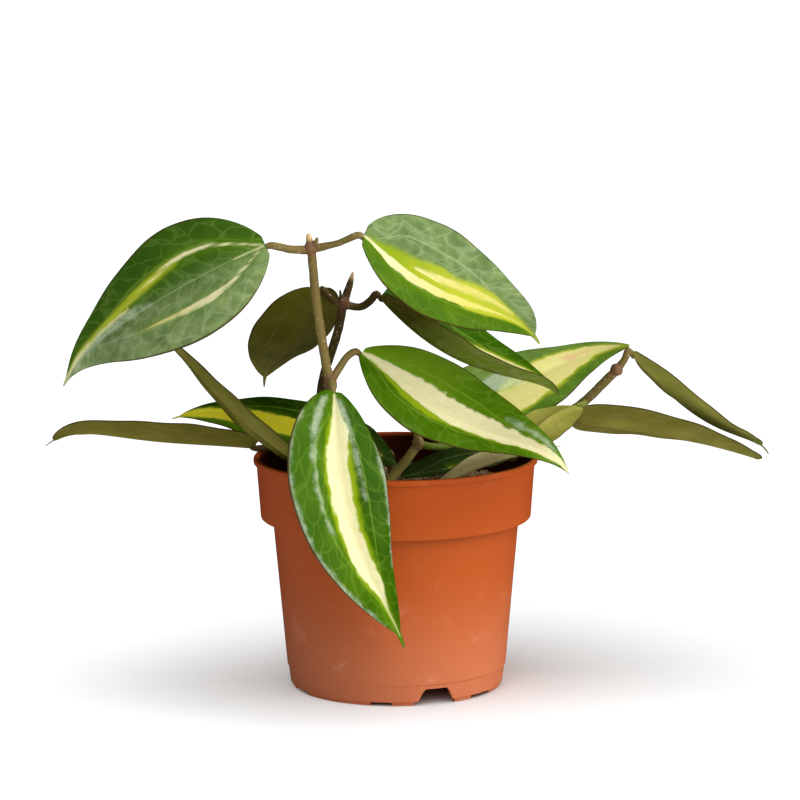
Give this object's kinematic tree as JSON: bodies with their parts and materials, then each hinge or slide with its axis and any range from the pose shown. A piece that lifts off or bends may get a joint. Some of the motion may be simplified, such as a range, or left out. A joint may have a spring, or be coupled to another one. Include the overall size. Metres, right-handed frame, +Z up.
{
  "type": "potted hoya plant",
  "caption": "Young waxplant with large glossy center-variegated leaves on bare twining stems, rooted in peat in a round plastic nursery pot.",
  "frame": {"origin": "centre of the bounding box's base, on the ground plane; the pot's axis stands 7.3 mm to the left of it and 3.3 mm behind it", "axes": "+X to the plant's right seen from the front, +Y towards the back, +Z up; the front, with the hanging front leaf, faces -Y"},
  "size_m": [0.3101, 0.1806, 0.2045],
  "materials": {
    "pot_plastic": "satin terracotta colored plastic with fine scuffs",
    "soil": "dark crumbly peat with fine roots",
    "stem": "semi-matte olive brown bark with pale specks",
    "leaf": "waxy gloss, green with a cream center above and dull olive below"
  },
  "bodies": {
    "root": {"pot": "pot_plastic", "soil": "soil", "stem_front": "stem", "stem_back": "stem", "stem_right": "stem", "stem_short": "stem", "stem_rear": "stem", "leaf_top_left": "leaf", "leaf_top_right": "leaf", "leaf_front": "leaf", "leaf_center_right": "leaf", "leaf_folded_right": "leaf", "leaf_back_drooping": "leaf", "leaf_far_right_upper": "leaf", "leaf_far_right_lower": "leaf", "leaf_right_back": "leaf", "leaf_right_pale": "leaf", "leaf_left_rising": "leaf", "leaf_left_low": "leaf", "leaf_left_inner": "leaf", "leaf_inner_small": "leaf", "leaf_inner_dark": "leaf", "leaf_rim_right": "leaf"}
  },
  "joints": []
}
